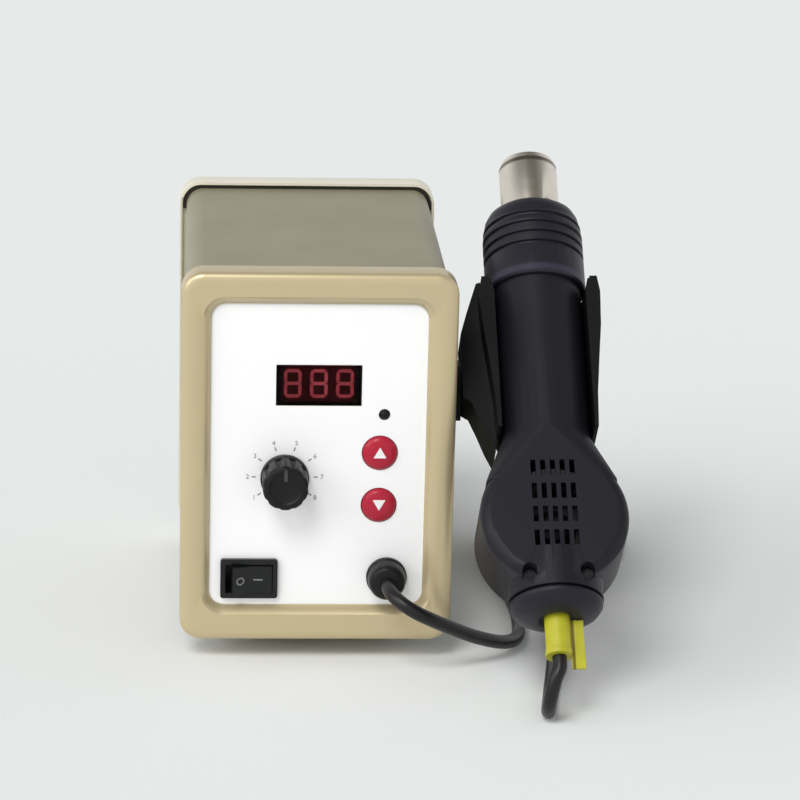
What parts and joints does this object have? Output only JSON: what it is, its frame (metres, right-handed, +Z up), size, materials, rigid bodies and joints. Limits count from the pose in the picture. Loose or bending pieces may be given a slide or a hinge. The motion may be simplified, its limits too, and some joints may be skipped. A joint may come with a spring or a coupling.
{
  "type": "hot air rework station",
  "caption": "Desk case with digital front panel, arrow keys, air flow dial and rocker switch; a corded hot air handle rests in a slanted side holder and lifts out.",
  "frame": {"origin": "on the table, under the middle of the outline of case, holder and handle without the cord", "axes": "+Z up, +Y from the front panel to the back, +X to the right, towards the handle's side"},
  "size_m": [0.1786, 0.2188, 0.176],
  "materials": {
    "bezel_plastic": "satin moulded, champagne gold",
    "panel_face": "smooth white enamel",
    "smoked_window": "clear polished, dark red",
    "display_body": "moulded",
    "display_red": "diffusing segments",
    "black_plastic": "fine moulded grain",
    "red_plastic": "moulded",
    "white_mark": "filled mark",
    "bare_steel": "zinc plated",
    "brass_post": "turned",
    "board_green": "solder mask",
    "component_dark": "moulded",
    "cover_paint": "fine textured, grey olive",
    "tray_metal": "fine textured, grey olive",
    "rear_paint": "smooth grey enamel",
    "core_iron": "stacked sheets, varnished",
    "winding": "yellow wrapping tape",
    "sink_metal": "extruded",
    "foot_rubber": "matt",
    "holder_plastic": "satin moulded black",
    "magnet": "nickel plated",
    "handle_plastic": "satin moulded, blue black",
    "tube_steel": "stainless, slightly heat stained",
    "mica": "rolled mica sheet",
    "ceramic": "fired, unglazed",
    "motor_case": "black lacquer",
    "fan_plastic": "moulded",
    "sleeve_yellow": "soft vinyl",
    "cord_rubber": "satin silicone"
  },
  "bodies": {
    "root": {"front_bezel": "bezel_plastic", "front_panel": "panel_face", "display_window": "smoked_window", "display_module": "display_body", "display_digits": "display_red", "indicator_lamp": "black_plastic", "pot_body": "component_dark", "control_board": "board_green", "board_parts": "component_dark", "board_standoffs": "brass_post", "switch_body": "black_plastic", "cord_gland": "black_plastic", "gland_nut": "black_plastic", "case_cover": "cover_paint", "base_tray": "tray_metal", "rear_bezel": "bezel_plastic", "rear_panel": "rear_paint", "mains_inlet": "black_plastic", "inlet_pins": "bare_steel", "fuse_holder": "black_plastic", "power_board": "board_green", "power_parts": "component_dark", "transformer_core": "core_iron", "transformer_coil": "winding", "heat_sink": "sink_metal", "feet": "foot_rubber", "foot_screws": "bare_steel", "case_screws": "bare_steel", "holder_bracket": "holder_plastic", "holder_cradle": "holder_plastic", "holder_screws": "bare_steel", "park_magnet": "magnet", "handle_cord_out": "cord_rubber", "cord_coil": "cord_rubber", "handle_cord_back": "cord_rubber"},
    "handle": {"shell_front": "handle_plastic", "shell_rear": "handle_plastic", "shell_screws": "bare_steel", "heater_collar": "handle_plastic", "heater_tube": "tube_steel", "mica_sleeve": "mica", "heater_core": "ceramic", "fan_motor": "motor_case", "reed_switch": "board_green", "tail_cap": "handle_plastic", "cord_sleeve": "sleeve_yellow"},
    "fan": {"fan_impeller": "fan_plastic"},
    "knob": {"airflow_knob": "black_plastic", "knob_pointer": "white_mark", "pot_shaft": "bare_steel"},
    "up_key": {"up_button": "red_plastic"},
    "down_key": {"down_button": "red_plastic"},
    "rocker": {"switch_rocker": "black_plastic"}
  },
  "joints": [
    {"name": "handle_lift", "type": "slide", "parent": "root", "child": "handle", "axis": [0, -0.7071, 0.7071], "range_m": [0, 0.05]},
    {"name": "fan_spin", "type": "hinge", "parent": "handle", "child": "fan", "pos_m": [0.05326, -0.06876, 0.05949], "axis": [0, 0.7071, -0.7071], "continuous": true},
    {"name": "knob_turn", "type": "hinge", "parent": "root", "child": "knob", "pos_m": [-0.04206, -0.04275, 0.0704], "axis": [0, 1, 0], "range_deg": [-135, 135]},
    {"name": "up_key_press", "type": "slide", "parent": "root", "child": "up_key", "axis": [0, 1, 0], "range_m": [0, 0.001], "stiffness_N_per_m": 1200, "springref_m": -0.0003},
    {"name": "down_key_press", "type": "slide", "parent": "root", "child": "down_key", "axis": [0, 1, 0], "range_m": [0, 0.001], "stiffness_N_per_m": 1200, "springref_m": -0.0003},
    {"name": "rocker_tip", "type": "hinge", "parent": "root", "child": "rocker", "pos_m": [-0.05466, -0.03775, 0.0316], "axis": [0, 0, -1], "range_deg": [0, 24]}
  ]
}
